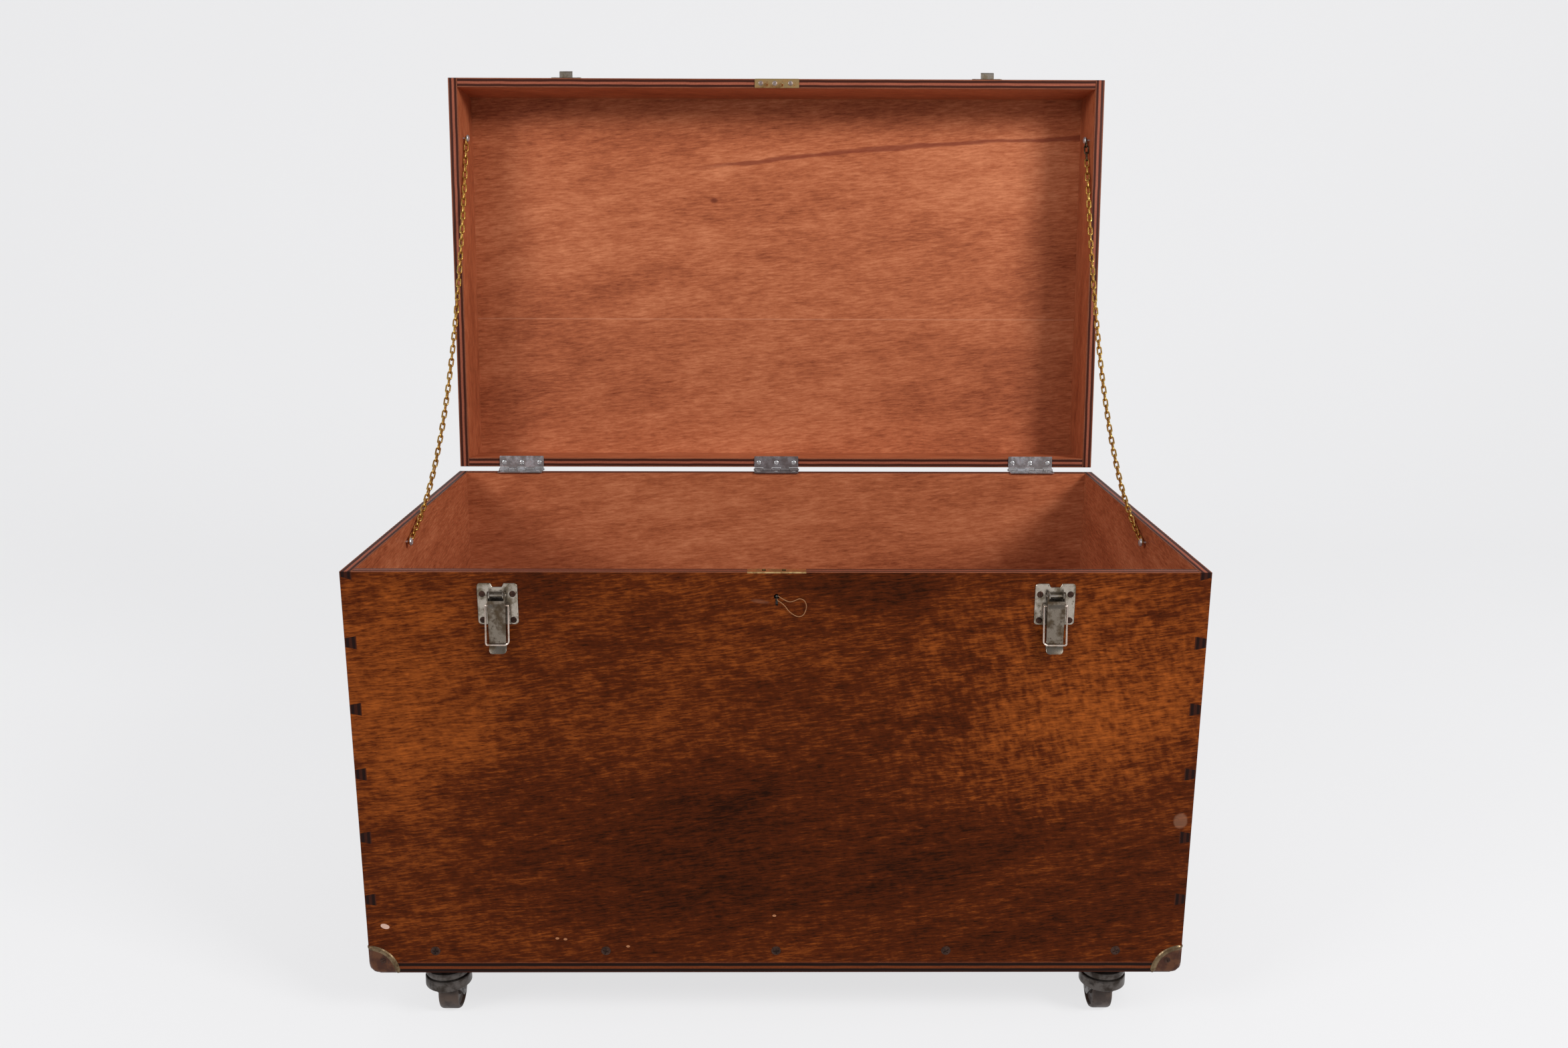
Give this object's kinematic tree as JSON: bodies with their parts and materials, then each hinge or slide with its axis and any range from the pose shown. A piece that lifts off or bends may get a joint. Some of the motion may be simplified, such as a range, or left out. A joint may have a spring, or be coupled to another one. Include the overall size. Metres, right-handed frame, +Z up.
{
  "type": "wooden trunk",
  "caption": "Dovetailed plywood chest on castors with a deep hinged lid held by chains, draw latches, a lock, metal corners and end handles.",
  "frame": {"origin": "on the floor, below the centre of the open trunk's bounding box", "axes": "+Z up, -Y out of the front with the latches, +X to the right seen from the front"},
  "size_m": [0.939, 0.7088, 1.0934],
  "materials": {
    "case_wood": "varnished mahogany-faced plywood, dark outside and lighter inside",
    "lid_wood": "mahogany-faced plywood, pinkish orange inside",
    "cleat_wood": "sawn softwood, stained",
    "lock_brass": "worn brass",
    "chain_brass": "polished brass",
    "latch_nickel": "worn nickel plate",
    "hinge_nickel": "nickel plate",
    "corner_iron": "dark reddish brown, worn to metal at the raised rim",
    "castor_iron": "black stamped steel",
    "castor_tread": "hard dark brown tread",
    "handle_iron": "black iron",
    "twine": "thin tan twine",
    "screw_steel": "tarnished steel"
  },
  "bodies": {
    "trunk": {"back_cleat": "cleat_wood", "back_panel": "case_wood", "bottom_panel": "case_wood", "bottom_row_screws": "screw_steel", "fitting_screws": "screw_steel", "front_cleat": "cleat_wood", "front_panel": "case_wood", "left_back_castor_plate": "castor_iron", "left_back_corner": "corner_iron", "left_chain": "chain_brass", "left_cleat": "cleat_wood", "left_end_panel": "case_wood", "left_front_castor_plate": "castor_iron", "left_front_corner": "corner_iron", "left_handle_plate": "handle_iron", "left_hinge_box_leaf": "hinge_nickel", "left_hinge_pin": "hinge_nickel", "left_latch_plate": "latch_nickel", "lock_case": "lock_brass", "middle_hinge_box_leaf": "hinge_nickel", "middle_hinge_pin": "hinge_nickel", "right_back_castor_plate": "castor_iron", "right_back_corner": "corner_iron", "right_chain": "chain_brass", "right_cleat": "cleat_wood", "right_end_panel": "case_wood", "right_front_castor_plate": "castor_iron", "right_front_corner": "corner_iron", "right_handle_plate": "handle_iron", "right_hinge_box_leaf": "hinge_nickel", "right_hinge_pin": "hinge_nickel", "right_latch_plate": "latch_nickel", "twine_loop": "twine"},
    "lid": {"left_hinge_lid_leaf": "hinge_nickel", "left_latch_hook": "latch_nickel", "lid_back_rail": "lid_wood", "lid_front_rail": "lid_wood", "lid_left_rail": "lid_wood", "lid_right_rail": "lid_wood", "lid_screws": "screw_steel", "lid_top_panel": "lid_wood", "link_plate": "lock_brass", "middle_hinge_lid_leaf": "hinge_nickel", "right_hinge_lid_leaf": "hinge_nickel", "right_latch_hook": "latch_nickel"},
    "lock_bolt": {"lock_bolt": "lock_brass"},
    "left_back_castor_fork": {"left_back_castor_fork": "castor_iron"},
    "left_back_castor_wheel": {"left_back_castor_wheel": "castor_tread"},
    "left_front_castor_fork": {"left_front_castor_fork": "castor_iron"},
    "left_front_castor_wheel": {"left_front_castor_wheel": "castor_tread"},
    "left_handle_grip": {"left_handle_grip": "handle_iron"},
    "left_latch_bail": {"left_latch_bail": "latch_nickel"},
    "left_latch_lever": {"left_latch_lever": "latch_nickel"},
    "right_back_castor_fork": {"right_back_castor_fork": "castor_iron"},
    "right_back_castor_wheel": {"right_back_castor_wheel": "castor_tread"},
    "right_front_castor_fork": {"right_front_castor_fork": "castor_iron"},
    "right_front_castor_wheel": {"right_front_castor_wheel": "castor_tread"},
    "right_handle_grip": {"right_handle_grip": "handle_iron"},
    "right_latch_bail": {"right_latch_bail": "latch_nickel"},
    "right_latch_lever": {"right_latch_lever": "latch_nickel"}
  },
  "joints": [
    {"name": "lid_hinge", "type": "hinge", "parent": "trunk", "child": "lid", "pos_m": [0, 0.20493, 0.5407], "axis": [-1, 0, 0], "range_deg": [-95.2, 0], "deforming": ["left_chain", "right_chain"]},
    {"name": "left_latch_pivot", "type": "hinge", "parent": "trunk", "child": "left_latch_lever", "pos_m": [-0.293, -0.34677, 0.515], "axis": [-1, 0, 0], "range_deg": [0, 160]},
    {"name": "left_bail_swing", "type": "hinge", "parent": "left_latch_lever", "child": "left_latch_bail", "pos_m": [-0.293, -0.34677, 0.504], "axis": [1, 0, 0], "range_deg": [-172, 0]},
    {"name": "left_handle_lift", "type": "hinge", "parent": "trunk", "child": "left_handle_grip", "pos_m": [-0.464, -0.06977, 0.389], "axis": [0, 1, 0], "range_deg": [0, 90]},
    {"name": "right_latch_pivot", "type": "hinge", "parent": "trunk", "child": "right_latch_lever", "pos_m": [0.293, -0.34677, 0.515], "axis": [-1, 0, 0], "range_deg": [0, 160]},
    {"name": "right_bail_swing", "type": "hinge", "parent": "right_latch_lever", "child": "right_latch_bail", "pos_m": [0.293, -0.34677, 0.504], "axis": [1, 0, 0], "range_deg": [-172, 0]},
    {"name": "right_handle_lift", "type": "hinge", "parent": "trunk", "child": "right_handle_grip", "pos_m": [0.464, -0.06977, 0.389], "axis": [0, -1, 0], "range_deg": [0, 90]},
    {"name": "lock_bolt_slide", "type": "slide", "parent": "trunk", "child": "lock_bolt", "axis": [1, 0, 0], "range_m": [0, 0.007]},
    {"name": "left_front_castor_swivel", "type": "hinge", "parent": "trunk", "child": "left_front_castor_fork", "pos_m": [-0.377, -0.31077, 0.06], "axis": [0, 0, 1], "continuous": true},
    {"name": "left_front_wheel_roll", "type": "hinge", "parent": "left_front_castor_fork", "child": "left_front_castor_wheel", "pos_m": [-0.377, -0.29577, 0.025], "axis": [1, 0, 0], "continuous": true},
    {"name": "left_back_castor_swivel", "type": "hinge", "parent": "trunk", "child": "left_back_castor_fork", "pos_m": [-0.377, 0.17123, 0.06], "axis": [0, 0, 1], "continuous": true},
    {"name": "left_back_wheel_roll", "type": "hinge", "parent": "left_back_castor_fork", "child": "left_back_castor_wheel", "pos_m": [-0.377, 0.18623, 0.025], "axis": [1, 0, 0], "continuous": true},
    {"name": "right_front_castor_swivel", "type": "hinge", "parent": "trunk", "child": "right_front_castor_fork", "pos_m": [0.377, -0.31077, 0.06], "axis": [0, 0, 1], "continuous": true},
    {"name": "right_front_wheel_roll", "type": "hinge", "parent": "right_front_castor_fork", "child": "right_front_castor_wheel", "pos_m": [0.377, -0.29577, 0.025], "axis": [1, 0, 0], "continuous": true},
    {"name": "right_back_castor_swivel", "type": "hinge", "parent": "trunk", "child": "right_back_castor_fork", "pos_m": [0.377, 0.17123, 0.06], "axis": [0, 0, 1], "continuous": true},
    {"name": "right_back_wheel_roll", "type": "hinge", "parent": "right_back_castor_fork", "child": "right_back_castor_wheel", "pos_m": [0.377, 0.18623, 0.025], "axis": [1, 0, 0], "continuous": true}
  ]
}
